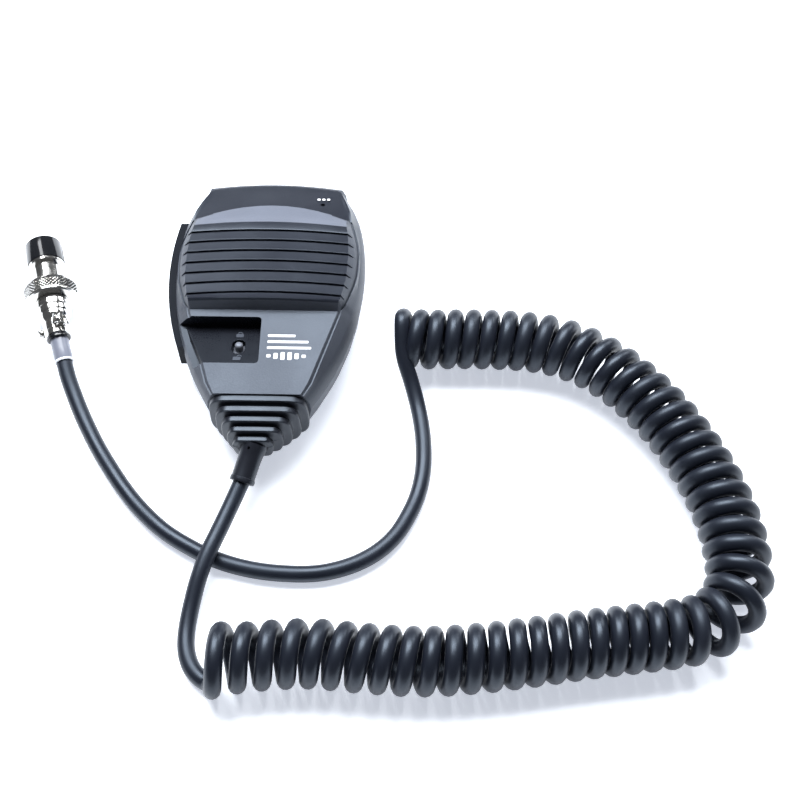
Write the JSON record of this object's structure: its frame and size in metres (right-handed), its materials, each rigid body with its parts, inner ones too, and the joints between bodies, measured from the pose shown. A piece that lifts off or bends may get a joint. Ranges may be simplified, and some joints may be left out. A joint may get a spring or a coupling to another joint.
{
  "type": "hand microphone",
  "caption": "Hand-held radio microphone with a louvred face, side talk lever, lock stud and ribbed boot, and a curly cord to a round knurled coupling plug.",
  "frame": {"origin": "centre of the flat head of the hanger stud on the back, which the handset lies on", "axes": "+Y towards the key end of the handset, +Z out of the louvred face, +X to the right of the face with the keys up"},
  "size_m": [0.2532, 0.1871, 0.0328],
  "materials": {
    "case_plastic": "fine satin texture",
    "dark_plastic": "satin",
    "mesh_cloth": "open weave",
    "red_plastic": "smooth",
    "light_plastic": "smooth",
    "steel": "plain",
    "stud_steel": "turned",
    "capsule_metal": "plain",
    "board": "solder mask",
    "boot_rubber": "satin moulded",
    "cord_jacket": "satin",
    "conductors": "insulation",
    "sleeve_tube": "shrunk tube",
    "band_white": "smooth",
    "plug_black": "glossy",
    "contact_metal": "plated",
    "plug_chrome": "bright"
  },
  "bodies": {
    "microphone": {"front_shell": "case_plastic", "dust_screen": "mesh_cloth", "lock_plate": "dark_plastic", "lock_switch": "dark_plastic", "lever_pin": "steel", "lever_spring": "steel", "talk_switch": "dark_plastic", "key_switches": "light_plastic", "main_board": "board", "board_screws": "steel", "board_parts": "dark_plastic", "wire_header": "light_plastic", "mic_capsule": "capsule_metal", "capsule_holder": "dark_plastic", "rear_shell": "case_plastic", "case_screws": "steel", "hanger_stud": "stud_steel", "stud_screw": "steel", "cord_clamp": "steel", "clamp_screws": "steel", "inner_cord": "cord_jacket", "inner_wires": "conductors", "cord_boot": "boot_rubber", "lead_cord": "cord_jacket", "curly_cord": "cord_jacket", "plug_cord": "cord_jacket", "plug_sleeve": "sleeve_tube", "sleeve_band": "band_white", "plug_insert": "plug_black", "plug_contacts": "contact_metal", "plug_body": "plug_chrome", "plug_tail": "plug_chrome", "cable_saddle": "plug_chrome", "saddle_screws": "plug_chrome", "body_screw": "steel"},
    "lever": {"talk_lever": "dark_plastic"},
    "plunger": {"talk_plunger": "red_plastic"},
    "lock": {"lock_knob": "dark_plastic"},
    "up": {"up_key": "dark_plastic"},
    "down": {"down_key": "dark_plastic"},
    "washer": {"coupling_washer": "steel"},
    "nut": {"coupling_nut": "plug_chrome"}
  },
  "joints": [
    {"name": "talk_press", "type": "hinge", "parent": "microphone", "child": "lever", "pos_m": [-0.024, -0.019, 0.0152], "axis": [0, 0, -1], "range_deg": [0, 2.6], "stiffness_Nm_per_rad": 2.5, "springref_deg": -1.15, "deforming": ["lever_spring"]},
    {"name": "plunger_slide", "type": "slide", "parent": "microphone", "child": "plunger", "axis": [1, 0, 0], "range_m": [0, 0.00125]},
    {"name": "lock_slide", "type": "slide", "parent": "microphone", "child": "lock", "axis": [0, 0.9781, -0.2079], "range_m": [-0.002, 0]},
    {"name": "up_press", "type": "slide", "parent": "microphone", "child": "up", "axis": [0, -1, 0], "range_m": [0, 0.0005], "stiffness_N_per_m": 800, "springref_m": -0.0008},
    {"name": "down_press", "type": "slide", "parent": "microphone", "child": "down", "axis": [0, -1, 0], "range_m": [0, 0.0005], "stiffness_N_per_m": 800, "springref_m": -0.0008},
    {"name": "nut_slide", "type": "slide", "parent": "microphone", "child": "washer", "axis": [-0.2924, 0.9563, 0], "range_m": [0, 0.0098]},
    {"name": "nut_spin", "type": "hinge", "parent": "washer", "child": "nut", "pos_m": [-0.0783, 0.007, 0.0095], "axis": [-0.2924, 0.9563, 0], "continuous": true}
  ],
  "couplings": [
    {"joint": "plunger_slide", "follows": "talk_press", "m_per_rad": 0.027}
  ]
}
